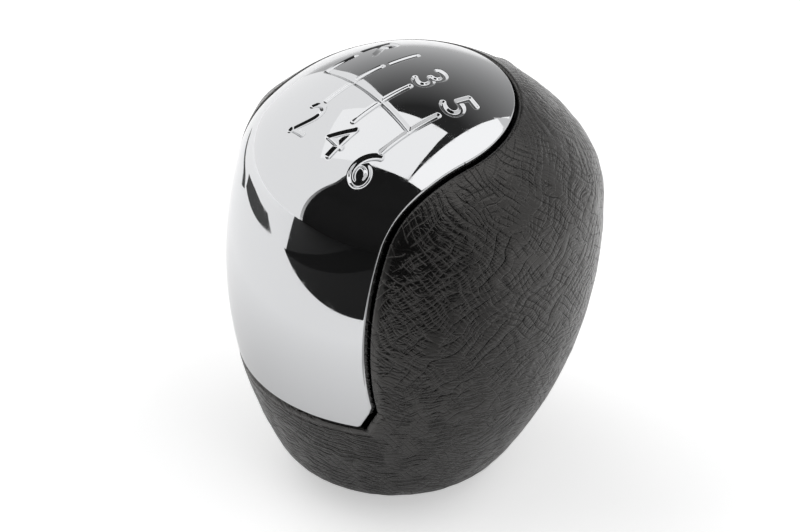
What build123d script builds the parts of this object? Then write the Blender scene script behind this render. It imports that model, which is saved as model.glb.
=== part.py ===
"""Gear shift knob: a leather-covered moulded core with a plated cap panel that runs down its front.

Millimetres. +Z is up along the gear lever, +Y points away from the driver and -Y is the front,
where the panel comes down. The origin is the middle of the lever bore's mouth, on the base plane.
"""
import os
from math import cos, radians, sin

from build123d import *

os.makedirs("parts", exist_ok=True)

# Body form: three tangent arcs turned about an axis that leans back from the lever.
# Each arc runs until its normal has turned the given angle from the axis.
body_lean = 8.4
body_axis_foot_y = -2.6
dome_radius = 33.6
dome_turn = 49.6
shoulder_radius = 14.0
shoulder_turn = 80.8
flank_radius = 69.0
flank_turn = 140.0
dome_centre_height = 36.3
base_round = 8.6

# Leather cover, and the groove that its turned-in edge leaves round the panel
leather_thickness = 1.6
leather_lip_round = 1.1
groove_width = 0.7

# Plated panel: straight sides, a round back end and a level foot with cut corners
panel_thickness = 2.4
panel_set_in = 0.1
panel_half_width = 18.9
panel_round_centre_y = -1.0
panel_foot_height = 20.9
panel_corner_width = 1.8
panel_corner_height = 3.6
panel_corner_round = 1.5
panel_edge_round = 0.6

# Shift gate cut into the panel: the outer left column runs above the bar only
gate_columns = 4
gate_spacing = 7.3
gate_bar_y = -5.4
gate_reach = 5.2
gate_groove_width = 1.1
gate_groove_depth = 0.4

# Pegs that hold the panel, along the direction in which it is pushed on
peg_radius = 2.0
peg_length = 6.0
peg_clearance = 0.15
peg_slope = 50.0
peg_half_spacing = 9.0
peg_front_drop = 15.0
peg_back_rise = 20.0

# Lever sleeve: a turned insert that the core is moulded round
lever_bore_radius = 6.0
lever_bore_depth = 42.0
sleeve_radius = 8.5
sleeve_end_wall = 3.0
sleeve_mouth_chamfer = 0.4
sleeve_groove_depth = 0.8
sleeve_groove_width = 3.0
sleeve_groove_count = 3
sleeve_groove_pitch = 11.0
sleeve_first_groove_height = 14.0

# Base ring: closes the underside between the sleeve and the leather
ring_radius = 11.0
ring_spigot_radius = 10.0
ring_spigot_height = 6.0
ring_bead_height = 1.2
ring_bead_depth = 0.4
ring_clearance = 0.1

# Lengths worked out from the dimensions above
sleeve_length = lever_bore_depth + sleeve_end_wall
ring_bore_radius = sleeve_radius + ring_clearance
ring_top = leather_thickness + ring_spigot_height
ring_bead_middle = ring_top - 2 * ring_bead_height
panel_inner_set = panel_set_in + panel_thickness
pocket_margin = groove_width + leather_thickness
pocket_depth = 2 * panel_inner_set
gate_width = (gate_columns - 1) * gate_spacing
body_height = dome_centre_height + dome_radius
body_reach = 2 * body_height

# Distance under which a point counts as lying on a surface
touch_tolerance = 0.001


def arc_centre(start, from_radius, to_radius, turn):
    """Centre of the arc that carries on, tangent, from an arc about start."""
    step = from_radius - to_radius
    return (start[0] + step * sin(radians(turn)), start[1] + step * cos(radians(turn)))


def body_form(inset):
    """The body's closed form drawn in by an inset all round."""
    backward = (0, cos(radians(body_lean)), -sin(radians(body_lean)))
    section = Plane(origin=(0, body_axis_foot_y, 0), x_dir=backward, z_dir=(1, 0, 0))
    dome_centre = (0, dome_centre_height)
    shoulder_centre = arc_centre(dome_centre, dome_radius, shoulder_radius, dome_turn)
    flank_centre = arc_centre(shoulder_centre, shoulder_radius, flank_radius, shoulder_turn)
    with BuildPart() as form:
        with BuildSketch(section):
            with BuildLine():
                dome = CenterArc(dome_centre, dome_radius - inset, 90 - dome_turn, dome_turn)
                CenterArc(
                    shoulder_centre, shoulder_radius - inset, 90 - shoulder_turn, shoulder_turn - dome_turn
                )
                flank = CenterArc(
                    flank_centre, flank_radius - inset, 90 - flank_turn, flank_turn - shoulder_turn
                )
                under = flank @ 0
                Polyline(under, (0, under.Y), dome @ 1)
            make_face()
        revolve(axis=Axis(section.origin, section.y_dir))
    return form.part


def standing_form(inset):
    """The body's form cut level above the base plane by the same inset, with its rounded rim."""
    whole = body_form(inset)
    with BuildPart() as form:
        add(whole)
        split(bisect_by=Plane.XY.offset(inset), keep=Keep.TOP)
        fillet(form.faces().sort_by(Axis.Z)[0].edges(), radius=base_round - inset)
    return form.part


def panel_region(margin):
    """All that lies over and before the panel's outline, drawn out by a margin."""
    half_width = panel_half_width + margin
    half_foot = panel_half_width - panel_corner_width
    flare = body_reach * panel_corner_width / panel_corner_height
    with BuildPart() as region:
        with BuildSketch():
            with Locations((0, panel_round_centre_y)):
                Circle(half_width)
                Rectangle(2 * half_width, body_reach, align=(Align.CENTER, Align.MAX))
        extrude(amount=body_reach)
        with BuildSketch(Plane.XZ.offset(-body_reach)):
            with BuildLine():
                Polyline(
                    (-half_foot, panel_foot_height),
                    (half_foot, panel_foot_height),
                    (half_foot + flare, panel_foot_height + body_reach),
                    (-half_foot - flare, panel_foot_height + body_reach),
                    close=True,
                )
            make_face()
            offset(amount=margin, kind=Kind.INTERSECTION)
        extrude(amount=2 * body_reach, mode=Mode.INTERSECT)
        foot_edges, corner_edges = region.edges().filter_by(Axis.Y).group_by(Axis.Z)[:2]
        fillet(foot_edges + corner_edges, radius=panel_corner_round + margin)
    return region.part


def gate_cut():
    """The shift gate's grooves, standing on the panel's skin at their depth."""
    with BuildPart() as grooves:
        with BuildSketch(Plane.XY.offset(dome_centre_height)):
            with Locations((0, gate_bar_y)):
                SlotCenterToCenter(gate_width, gate_groove_width)
            with Locations((gate_spacing / 2, gate_bar_y)):
                with GridLocations(gate_spacing, 0, gate_columns - 1, 1):
                    SlotCenterToCenter(2 * gate_reach, gate_groove_width, rotation=90)
            with Locations((-gate_width / 2, gate_bar_y + gate_reach / 2)):
                SlotCenterToCenter(gate_reach, gate_groove_width, rotation=90)
        extrude(amount=body_reach)
        add(groove_floor, mode=Mode.SUBTRACT)
    return grooves.part


def pegs(root, tip, radius):
    """Three pegs along the push-on direction, from inside one form down to another."""
    lean_angle = radians(body_lean)
    slope = radians(peg_slope)
    dome_y = body_axis_foot_y + dome_centre_height * sin(lean_angle)
    dome_z = dome_centre_height * cos(lean_angle)
    push_plane = Plane(origin=(0, dome_y, dome_z), x_dir=(1, 0, 0), z_dir=(0, -cos(slope), sin(slope)))
    with BuildPart() as posts:
        with BuildSketch(push_plane):
            with Locations(
                (-peg_half_spacing, -peg_front_drop),
                (peg_half_spacing, -peg_front_drop),
                (0, peg_back_rise),
            ):
                Circle(radius)
        extrude(amount=body_reach)
        add(root, mode=Mode.INTERSECT)
        add(tip, mode=Mode.SUBTRACT)
    return posts.part


def sleeve_section():
    """Half section of the lever sleeve, still solid, with the grooves that key it into the core."""
    grooves = [sleeve_first_groove_height + k * sleeve_groove_pitch for k in range(sleeve_groove_count)]
    with BuildSketch(Plane.XZ) as section:
        Rectangle(sleeve_radius, sleeve_length, align=(Align.MIN, Align.MIN))
        with Locations(*[(sleeve_radius, height) for height in grooves]):
            Rectangle(
                2 * sleeve_groove_depth,
                sleeve_groove_width,
                align=(Align.CENTER, Align.MIN),
                mode=Mode.SUBTRACT,
            )
    return section.sketch


def ring_section(clearance):
    """Half section of the base ring: flange, spigot and snap bead, grown outwards by a clearance."""
    spigot = ring_spigot_radius + clearance
    with BuildSketch(Plane.XZ) as section:
        with BuildLine():
            Polyline(
                (ring_bore_radius - clearance, 0),
                (ring_radius + clearance, 0),
                (ring_radius + clearance, leather_thickness),
                (spigot, leather_thickness),
                (spigot, ring_bead_middle - ring_bead_height),
                (spigot + ring_bead_depth, ring_bead_middle),
                (spigot, ring_bead_middle + ring_bead_height),
                (spigot, ring_top + clearance),
                (ring_bore_radius - clearance, ring_top + clearance),
                close=True,
            )
        make_face()
    return section.sketch


def lies_on(shape, point):
    """Whether a point lies on the outside of a solid."""
    return shape.shells()[0].distance_to(Vertex(point)) < touch_tolerance


def rim_edges(part, skin, wall):
    """Edges of a part along which a form's skin meets the wall of a region."""
    return part.edges().filter_by(lambda edge: lies_on(skin, edge @ 0.5) and lies_on(wall, edge @ 0.5))


def skin_block(skin, region, depth):
    """The stretch of a form's skin within a region, thickened inwards with walls square to the skin."""
    with BuildPart() as cap:
        add(skin)
        add(region, mode=Mode.INTERSECT)
    skin_faces = cap.faces().filter_by(lambda face: lies_on(skin, face.center()))
    return Solid.thicken(Shell(skin_faces), -depth)


# Forms that several pieces share
leather_skin = standing_form(0)
core_skin = standing_form(leather_thickness)
panel_skin = body_form(panel_set_in)
panel_middle = body_form(panel_set_in + panel_thickness / 2)
panel_seat = body_form(panel_inner_set)
groove_floor = body_form(panel_set_in + gate_groove_depth)
peg_end = body_form(panel_inner_set + peg_length)
socket_end = body_form(panel_inner_set + peg_length + peg_clearance)
panel_outline = panel_region(0)
opening_outline = panel_region(groove_width)
pocket_outline = panel_region(pocket_margin)

# Plated panel with its rounded rim, pegs and shift gate
panel_shell = skin_block(panel_skin, panel_outline, panel_thickness)
panel_pegs = pegs(panel_middle, peg_end, peg_radius)
shift_gate = gate_cut()
with BuildPart() as chrome_panel:
    add(panel_shell)
    fillet(rim_edges(chrome_panel.part, panel_skin, panel_outline), radius=panel_edge_round)
    add(panel_pegs)
    add(shift_gate, mode=Mode.SUBTRACT)
chrome_panel.part.label = "chrome_panel"
export_step(chrome_panel.part, "parts/chrome_panel.step")

# Pocket in the core, down to the panel's seat: it takes the panel and the turned-in leather
pocket_block = skin_block(leather_skin, pocket_outline, pocket_depth)
with BuildPart() as pocket:
    add(pocket_block)
    add(panel_seat, mode=Mode.SUBTRACT)
    add(core_skin, mode=Mode.INTERSECT)

# Moulded core with the sockets for the pegs, the sleeve and the base ring
peg_sockets = pegs(panel_seat, socket_end, peg_radius + peg_clearance)
sleeve_solid = sleeve_section()
ring_room = ring_section(ring_clearance)
with BuildPart() as core:
    add(core_skin)
    add(pocket.part, mode=Mode.SUBTRACT)
    add(peg_sockets, mode=Mode.SUBTRACT)
    revolve(sleeve_solid, axis=Axis.Z, mode=Mode.SUBTRACT)
    revolve(ring_room, axis=Axis.Z, mode=Mode.SUBTRACT)
core.part.label = "core"
export_step(core.part, "parts/core.step")

# Leather cover: a skin of even thickness, turned down into the pocket round the panel
leather_opening = skin_block(leather_skin, opening_outline, pocket_depth)
with BuildPart() as leather_cover:
    add(leather_skin)
    add(core_skin, mode=Mode.SUBTRACT)
    add(pocket.part)
    add(leather_opening, mode=Mode.SUBTRACT)
    fillet(rim_edges(leather_cover.part, leather_skin, opening_outline), radius=leather_lip_round)
    with BuildSketch():
        Circle(ring_radius + ring_clearance)
    extrude(amount=leather_thickness, mode=Mode.SUBTRACT)
leather_cover.part.label = "leather_cover"
export_step(leather_cover.part, "parts/leather_cover.step")

# Lever sleeve with its blind bore
with BuildPart() as lever_sleeve:
    revolve(sleeve_solid, axis=Axis.Z)
    with Locations(Location((0, 0, 0), (180, 0, 0))):
        Hole(lever_bore_radius, depth=lever_bore_depth)
    mouth = lever_sleeve.faces().sort_by(Axis.Z)[0].edges().sort_by(SortBy.RADIUS)[0]
    chamfer(mouth, length=sleeve_mouth_chamfer)
lever_sleeve.part.label = "lever_sleeve"
export_step(lever_sleeve.part, "parts/lever_sleeve.step")

# Base ring
ring_profile = ring_section(0)
with BuildPart() as base_ring:
    revolve(ring_profile, axis=Axis.Z)
base_ring.part.label = "base_ring"
export_step(base_ring.part, "parts/base_ring.step")
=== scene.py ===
# %% [markdown]
# # A gear shift knob
# The knob is an egg that leans back on its lever. A moulded core carries a skin of black leather and one
# mirror-plated panel, which covers the top, runs down the front and has the shift gate engraved in it.
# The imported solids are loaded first. Their sizes are named again where a step needs them, and what is
# modelled here is a finer version of the two pieces that are seen, the plated panel and the leather.

# %% Load the frame
from math import cos, pi, radians, sin

import bmesh
import bpy
import numpy as np
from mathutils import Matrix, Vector, kdtree


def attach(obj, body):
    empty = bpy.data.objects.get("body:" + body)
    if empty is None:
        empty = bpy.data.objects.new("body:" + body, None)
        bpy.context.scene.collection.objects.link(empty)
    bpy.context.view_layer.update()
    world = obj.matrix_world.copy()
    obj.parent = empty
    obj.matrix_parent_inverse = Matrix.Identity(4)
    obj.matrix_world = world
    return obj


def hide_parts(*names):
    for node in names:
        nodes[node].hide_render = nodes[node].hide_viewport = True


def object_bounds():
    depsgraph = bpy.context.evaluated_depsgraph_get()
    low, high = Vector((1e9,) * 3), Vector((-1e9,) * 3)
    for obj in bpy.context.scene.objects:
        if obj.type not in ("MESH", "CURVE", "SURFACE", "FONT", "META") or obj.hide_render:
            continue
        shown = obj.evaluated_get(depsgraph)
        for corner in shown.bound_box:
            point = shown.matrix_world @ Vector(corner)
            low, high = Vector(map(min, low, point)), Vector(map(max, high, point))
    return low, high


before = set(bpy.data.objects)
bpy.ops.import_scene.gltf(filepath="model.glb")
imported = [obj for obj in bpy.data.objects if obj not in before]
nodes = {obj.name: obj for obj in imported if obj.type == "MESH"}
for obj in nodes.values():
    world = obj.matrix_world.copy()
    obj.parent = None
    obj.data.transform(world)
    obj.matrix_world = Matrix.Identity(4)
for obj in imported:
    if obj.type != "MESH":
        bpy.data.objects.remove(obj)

MM = 0.001
cad_low, cad_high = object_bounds()
cad_size = tuple(round(v / MM, 1) for v in cad_high - cad_low)
print("solids:", ", ".join(sorted(nodes)), "within", cad_size, "mm")

# %% [markdown]
# ## Camera
# The picture was taken with a long lens from the front right, well above the knob. A long lens flattens
# the perspective, so the distance matters little and the angle a lot. The lens is worked out from how
# many pixels a millimetre takes in the picture, which keeps the knob at its size in the frame.

# %% Camera
picture_width = 800
pixels_per_mm = 6.3
view_azimuth, view_elevation = 54.7, 33.8
view_distance = 520 * MM
view_target = Vector((0, 0.58 * MM, 33.91 * MM))
sensor_width = 36
nearest_seen = 10 * MM


def direction(azimuth, elevation):
    """Unit vector from the knob towards an azimuth (0 is the front, 90 the right) and an elevation."""
    a, e = radians(azimuth), radians(elevation)
    return Vector((sin(a) * cos(e), -cos(a) * cos(e), sin(e)))


towards_camera = direction(view_azimuth, view_elevation)
bpy.ops.object.camera_add(location=view_target + view_distance * towards_camera)
camera = bpy.context.object
camera.rotation_euler = (-towards_camera).to_track_quat("-Z", "Y").to_euler()
camera.data.sensor_width = sensor_width
camera.data.lens = pixels_per_mm * view_distance / MM / picture_width * sensor_width
camera.data.clip_start = nearest_seen
bpy.context.scene.camera = camera
bpy.context.scene.view_settings.view_transform = "Standard"
print("lens", round(camera.data.lens, 1), "mm")

# %% [markdown]
# ## Node materials
# Every surface here gets its look from nodes. They could be set up by hand in the shader editor. In a
# script a few helpers do it: one adds a node, sets its values and links what feeds it, one does a sum,
# and one makes a value run smoothly from one end to another. The studio, the leather and the plating all
# use them.

# %% Helpers for nodes
def add_node(tree, kind, values=None, **settings):
    """A new node with its settings, whose inputs take a value each or the output of another node."""
    node = tree.nodes.new(kind)
    for name, value in settings.items():
        setattr(node, name, value)
    for name, value in (values or {}).items():
        if isinstance(value, bpy.types.NodeSocket):
            tree.links.new(value, node.inputs[name])
        else:
            node.inputs[name].default_value = value
    return node


def math_of(tree, operation, first, second=0.0):
    """One sum, product or other operation on values."""
    return add_node(tree, "ShaderNodeMath", {0: first, 1: second}, operation=operation).outputs[0]


def ramp_of(tree, value, low, high, to_low=0.0, to_high=1.0):
    """A value that runs smoothly between two others while its source passes from low to high."""
    ends = {"Value": value, "From Min": low, "From Max": high, "To Min": to_low, "To Max": to_high}
    return add_node(tree, "ShaderNodeMapRange", ends, interpolation_type="SMOOTHSTEP").outputs["Result"]


# %% [markdown]
# ## Studio
# A plated surface shows nothing but its surroundings, so the studio decides how the panel looks. The knob
# stands on a white table between two long softboxes and a white screen on the left. The side of the
# camera is dark, and the wall behind is grey and darkens upwards. Everything but the table is hidden from
# the camera, so that nothing stands in front of the knob when it is looked at from another side.

# %% Materials for the studio
black = 0.006
dull = 0.9


def plain_material(name, grey, glow=0.0):
    """A dull grey material, which may glow white by itself."""
    material = bpy.data.materials.new(name)
    material.use_nodes = True
    shader = material.node_tree.nodes["Principled BSDF"]
    shader.inputs["Base Color"].default_value = (grey, grey, grey, 1)
    shader.inputs["Roughness"].default_value = dull
    shader.inputs["Emission Color"].default_value = (1, 1, 1, 1)
    shader.inputs["Emission Strength"].default_value = glow
    return material


screen_white = plain_material("screen_white", black, glow=1.15)
side_white = plain_material("side_white", black, glow=0.84)
curtain_black = plain_material("curtain_black", black)
cloth_grey = plain_material("cloth_grey", 0.06)
cloth_pale = plain_material("cloth_pale", 0.7)
table_white = plain_material("table_white", 0.9)
print("studio materials:", ", ".join(material.name for material in bpy.data.materials))

# %% [markdown]
# The table is white. What the camera and the mirror see of it is lifted a little above what the lamps
# make of it, so that the background is white while the knob's shadow stays on the table and stays soft.
# The lift is no light: other surfaces receive nothing from it. What is mirrored close to the knob is
# lifted less, since the knob keeps light off the table there.

# %% White table
table_lift = 0.48
near_lift = 0.38
near_reach, far_reach = 0.03, 0.09
table_size = 6
table_gap = 0.05 * MM
table_tree = table_white.node_tree
ray_kind = add_node(table_tree, "ShaderNodeLightPath").outputs
table_place = add_node(table_tree, "ShaderNodeTexCoord").outputs["Object"]
from_knob = add_node(table_tree, "ShaderNodeVectorMath", {0: table_place}, operation="LENGTH")
lift_ends = {
    "Value": from_knob.outputs["Value"],
    "From Min": near_reach,
    "From Max": far_reach,
    "To Min": near_lift,
}
lift_share = add_node(table_tree, "ShaderNodeMapRange", lift_ends).outputs["Result"]
seen_direct = math_of(table_tree, "MAXIMUM", ray_kind["Is Camera Ray"], ray_kind["Is Transmission Ray"])
seen_mirrored = math_of(table_tree, "MULTIPLY", ray_kind["Is Glossy Ray"], lift_share)
seen = math_of(table_tree, "MAXIMUM", seen_direct, seen_mirrored)
table_glow = math_of(table_tree, "MULTIPLY", seen, table_lift)
table_tree.links.new(table_glow, table_tree.nodes["Principled BSDF"].inputs["Emission Strength"])

bpy.ops.object.select_all(action="DESELECT")
bpy.ops.mesh.primitive_plane_add(size=table_size, location=(0, 0, -table_gap))
table = bpy.context.object
table.name = "table"
table.data.materials.append(table_white)
print("table of", table_size, "m")

# %% [markdown]
# Screens and curtain are parts of one upright cylinder round the knob, each between two azimuths. They
# glow by themselves or are black. A whole cylinder is added and the faces outside the two azimuths are
# deleted, so that all parts have the same curve. Sizes of the studio are in metres.

# %% Screens and curtain
surround_radius = 0.8
surround_steps = 180


def hide_from_camera(obj, material):
    """Gives a studio piece its material and leaves it to light and reflections alone."""
    obj.data.materials.append(material)
    obj.visible_camera = False
    obj.visible_shadow = False


def surround(name, from_azimuth, to_azimuth, height, material):
    """A curved screen that stands round the knob between two azimuths."""
    bpy.ops.object.select_all(action="DESELECT")
    bpy.ops.mesh.primitive_cylinder_add(
        vertices=surround_steps,
        radius=surround_radius,
        depth=height,
        location=(0, 0, height / 2),
        end_fill_type="NOTHING",
    )
    screen = bpy.context.object
    screen.name = name
    middle = direction((from_azimuth + to_azimuth) / 2, 0)
    spread = cos(radians(to_azimuth - from_azimuth) / 2)
    bpy.ops.object.mode_set(mode="EDIT")
    mesh = bmesh.from_edit_mesh(screen.data)
    for face in mesh.faces:
        face.select_set(face.calc_center_median().xy.normalized().dot(middle.xy) < spread)
    bpy.ops.mesh.delete(type="FACE")
    bpy.ops.object.mode_set(mode="OBJECT")
    hide_from_camera(screen, material)


surround("left_screen", from_azimuth=-109, to_azimuth=-19, height=1.8, material=screen_white)
surround("right_screen", from_azimuth=80, to_azimuth=189, height=0.8, material=side_white)
surround("dark_curtain", from_azimuth=-19, to_azimuth=80, height=3.4, material=curtain_black)
print("screens of", surround_radius, "m radius")

# %% [markdown]
# Cloths lie on the table, where only the mirror and the leather's shine see them: two large black ones
# before the camera, which make the panel's front black, and two small ones on the left, which make the
# dark streak near the panel's left edge. A pale one on the right keeps the table's white off the leather
# low down.

# %% Cloths on the table
def cloth(name, x, y, width, depth, turned, material):
    """A cloth that lies flat on the table and is only seen mirrored."""
    bpy.ops.object.select_all(action="DESELECT")
    bpy.ops.mesh.primitive_plane_add(size=1, location=(x, y, 0))
    sheet = bpy.context.object
    sheet.name = name
    sheet.scale = (width, depth, 1)
    sheet.rotation_euler = (0, 0, radians(turned))
    sheet.visible_diffuse = False
    hide_from_camera(sheet, material)


cloth("front_cloth", x=0.732, y=-0.228, width=1.376, depth=0.9, turned=30.8, material=curtain_black)
cloth("far_cloth", x=0.051, y=-0.63, width=0.6, depth=0.7, turned=-24, material=curtain_black)
cloth("right_cloth", x=0.106, y=-0.018, width=0.1, depth=0.09, turned=-10, material=cloth_pale)
cloth("left_cloth", x=-0.163, y=-0.122, width=0.05, depth=0.115, turned=16.7, material=cloth_grey)
cloth("left_strip", x=-0.2, y=-0.018, width=0.125, depth=0.018, turned=-26.4, material=cloth_grey)

# %% [markdown]
# Two softboxes hang over the knob and look straight down. The left one runs into the left screen, so the
# panel's left half is one white field. The right one is long and narrow, and a thin dark gap between the
# two shows as the fine line across the top. Each has a lamp for its light and a glowing front for what
# the mirror sees of it. A lamp alone would be see-through in the mirror, and the screen behind would
# shine through it.

# %% Two softboxes
softbox_height = 0.75
front_gap = 1 * MM


def softbox(name, centre, length, width, turned, light, glow):
    """A lamp that looks straight down, and a front for the reflections, each with its own brightness."""
    turn = (0, 0, radians(turned))
    bpy.ops.object.light_add(type="AREA", location=(*centre, softbox_height), rotation=turn)
    lamp = bpy.context.object
    lamp.name = name
    lamp.data.shape = "RECTANGLE"
    lamp.data.size, lamp.data.size_y = length, width
    lamp.data.energy = light * pi * length * width
    lamp.visible_glossy = False
    bpy.ops.object.select_all(action="DESELECT")
    bpy.ops.mesh.primitive_plane_add(size=1, location=(*centre, softbox_height + front_gap), rotation=turn)
    front = bpy.context.object
    front.name = name + "_front"
    front.scale = (length, width, 1)
    front.visible_diffuse = False
    hide_from_camera(front, plain_material(front.name, black, glow=glow))


softbox("left_softbox", (-0.234, -0.101), length=0.73, width=0.445, turned=24, light=1.2, glow=1.33)
softbox("right_softbox", (0.209, 0.501), length=1.26, width=0.42, turned=107.5, light=1.4, glow=1.45)

# %% [markdown]
# The room around the screens is grey and gets darker upwards. The panel's back shows it, between the
# screens. A painted wall would do the same, but the world's own colour needs no mesh and reaches all the
# way round.

# %% The grey of the room
wall_low, wall_high = 0.6, 0.03
wall_top = 0.88
world = bpy.data.worlds.new("room")
bpy.context.scene.world = world
world.use_nodes = True
room = world.node_tree
view = add_node(room, "ShaderNodeTexCoord").outputs["Generated"]
view_height = add_node(room, "ShaderNodeSeparateXYZ", {"Vector": view}).outputs["Z"]
shade_ends = {"Value": view_height, "From Max": wall_top, "To Min": wall_low, "To Max": wall_high}
shade = add_node(room, "ShaderNodeMapRange", shade_ends).outputs["Result"]
room.links.new(shade, room.nodes["Background"].inputs["Color"])
print("room from", wall_low, "to", wall_high)

# %% [markdown]
# ## The form
# Both pieces lie on one form, an egg of three arcs that run into each other, turned about an axis that
# leans back. It could be modelled by eye with subdivision, but a mirror shows every dent, so the form is
# kept as a formula: it says how far a point is from the form and which way is outwards there. Meshes are
# first laid roughly over the knob and then moved on to the form exactly.

# %% The egg's formula
body_lean = radians(8.4)
axis_foot = np.array((0, -2.6, 0)) * MM
axis_up = np.array((0, sin(body_lean), cos(body_lean)))
axis_back = np.array((0, cos(body_lean), -sin(body_lean)))
dome_height = 36.3 * MM
dome_middle = axis_foot + dome_height * axis_up
arc_radii = np.array((33.6, 14.0, 69.0)) * MM
arc_turns = np.radians((0, 49.6, 80.8, 140))
least_radius = 1e-9
settle_rounds = 3


def arc_centres():
    """Centres of the dome's, the shoulder's and the flank's arc, as radius and height along the axis."""
    centres = [np.array((0, dome_height))]
    for step, turn in zip(arc_radii[:-1] - arc_radii[1:], arc_turns[1:]):
        centres.append(centres[-1] + step * np.array((sin(turn), cos(turn))))
    return centres


form_centres = arc_centres()


def form_at(points, inset=0.0):
    """How far points lie outside the form drawn in by an inset, and the outward normals there."""
    local = points - axis_foot
    back, height = local @ axis_back, local @ axis_up
    radius = np.hypot(local[:, 0], back)
    distance, turn = np.full(len(points), np.inf), np.zeros(len(points))
    for centre, arc, start, end in zip(form_centres, arc_radii, arc_turns, arc_turns[1:]):
        angle = np.arctan2(radius - centre[0], height - centre[1])
        here = (angle >= start) & (angle <= end)
        distance[here] = (np.hypot(radius - centre[0], height - centre[1]) - (arc - inset))[here]
        turn[here] = angle[here]
    outwards = np.sin(turn) / np.maximum(radius, least_radius)
    normals = np.outer(outwards * back, axis_back) + np.outer(np.cos(turn), axis_up)
    normals[:, 0] += outwards * local[:, 0]
    return distance, normals


def settle(points, inset=0.0):
    """Points moved straight on to the form."""
    for _ in range(settle_rounds):
        distance, normals = form_at(points, inset)
        points = points - distance[:, None] * normals
    return points


print("widest at", round(2 * (form_centres[2][0] + arc_radii[2]) / MM, 1), "mm")

# %% [markdown]
# ## Reading and moving points
# A mesh object keeps its points in one long list. These helpers hand the list to numpy and take it back,
# so that a formula can move thousands of points in one go. One of them lays a grid: Blender makes a flat
# one, and each of its points is then put at the place that is worked out for its row and column.

# %% Points in and out of a mesh
def points_of(obj):
    """The points of a mesh object as rows of x, y and z."""
    flat = np.empty(3 * len(obj.data.vertices), np.float32)
    obj.data.vertices.foreach_get("co", flat)
    return flat.reshape(-1, 3).astype(float)


def move_points(obj, points):
    """Puts the points of a mesh object at new places."""
    obj.data.vertices.foreach_set("co", points.astype(np.float32).ravel())
    obj.data.update()


def laid_grid(name, places):
    """A grid object from places in rows and columns."""
    row_steps, column_steps = len(places) - 1, len(places[0]) - 1
    bpy.ops.object.select_all(action="DESELECT")
    bpy.ops.mesh.primitive_grid_add(x_subdivisions=column_steps, y_subdivisions=row_steps, size=2)
    grid = bpy.context.object
    grid.name = name
    flat = (points_of(grid) + 1) / 2
    column = np.rint(flat[:, 0] * column_steps).astype(int)
    row = np.rint(flat[:, 1] * row_steps).astype(int)
    move_points(grid, places[row, column])
    return grid


def apply_modifiers(obj):
    """Applies all modifiers of an object, in their order."""
    bpy.ops.object.select_all(action="DESELECT")
    obj.select_set(True)
    bpy.context.view_layer.objects.active = obj
    for modifier in list(obj.modifiers):
        bpy.ops.object.modifier_apply(modifier=modifier.name)


print("solid panel of", len(points_of(nodes["chrome_panel"])), "points")

# %% [markdown]
# ## The outline
# Seen from above, the panel has straight sides and a round back end. Seen from the front it has a level
# foot with cut corners. The same outline, drawn out a little, is the opening in the leather. It is made
# as a solid cutter: a circle whose front half is pulled forward, extruded upwards, then planed off at the
# foot.

# %% Cutter along the panel's outline
panel_half_width = 18.9 * MM
panel_round_y = -1.0 * MM
panel_foot_z = 20.9 * MM
corner_width, corner_height = 1.8 * MM, 3.6 * MM
corner_round = 1.5 * MM
corner_steps = 12
reach = 90 * MM
outline_steps = 256
just_ahead = 0.01 * MM
mostly = 0.99


def foot_planes():
    """Places and normals of the planes of the foot and its two cut corners, for no margin."""
    cut_angle = np.arctan2(corner_height, corner_width)
    planes = [(Vector((0, 0, panel_foot_z)), Vector((0, 0, -1)))]
    for side in (-1, 1):
        corner = Vector((side * (panel_half_width - corner_width), 0, panel_foot_z))
        planes.append((corner, Vector((side * sin(cut_angle), 0, -cos(cut_angle)))))
    return planes


def outline_cutter(margin):
    """A solid that holds all within the panel's outline drawn out by a margin."""
    bpy.ops.object.select_all(action="DESELECT")
    bpy.ops.mesh.primitive_circle_add(
        vertices=outline_steps,
        radius=panel_half_width + margin,
        fill_type="NGON",
        location=(0, panel_round_y, 0),
    )
    cutter = bpy.context.object
    bpy.ops.object.transform_apply()
    bpy.ops.object.mode_set(mode="EDIT")
    for vertex in bmesh.from_edit_mesh(cutter.data).verts:
        vertex.select_set(vertex.co.y < panel_round_y - just_ahead)
    bpy.ops.transform.translate(value=(0, -reach, 0))
    bpy.ops.mesh.select_all(action="SELECT")
    bpy.ops.mesh.extrude_region_move(TRANSFORM_OT_translate={"value": (0, 0, reach)})
    for place, normal in foot_planes():
        bpy.ops.mesh.select_all(action="SELECT")
        bpy.ops.mesh.bisect(
            plane_co=place + margin * normal, plane_no=normal, use_fill=True, clear_outer=True
        )
    for edge in bmesh.from_edit_mesh(cutter.data).edges:
        run = edge.verts[1].co - edge.verts[0].co
        low = max(v.co.z for v in edge.verts) < panel_foot_z + 2 * corner_height
        edge.select_set(low and abs(run.y) > mostly * run.length and run.length > reach / 2)
    bpy.ops.mesh.bevel(offset=corner_round, offset_type="WIDTH", segments=corner_steps, clamp_overlap=False)
    bpy.ops.mesh.select_all(action="SELECT")
    bpy.ops.mesh.normals_make_consistent(inside=False)
    bpy.ops.object.mode_set(mode="OBJECT")
    return cutter


print("outline", round(2 * panel_half_width / MM, 1), "mm wide, from", round(panel_foot_z / MM, 1), "mm up")

# %% [markdown]
# ## Edges that roll over
# Both the panel's rim and the leather's edge round over and go down into the groove between them. A bevel
# would stumble over the small faces that a cut leaves, so the edge is drawn on instead. First the open
# edge is found and put exactly on the outline. Points that then all but coincide are merged. They are
# sorted by place before that, so that the order in which the cut left them doesn't matter.

# %% Put an open edge on the outline
merge_distance = 0.02 * MM
sorting_slant = Vector((1.0, 1.414, 3.142))


def everywhere(point):
    """For a mesh that has one open edge: all of it."""
    return True


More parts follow.
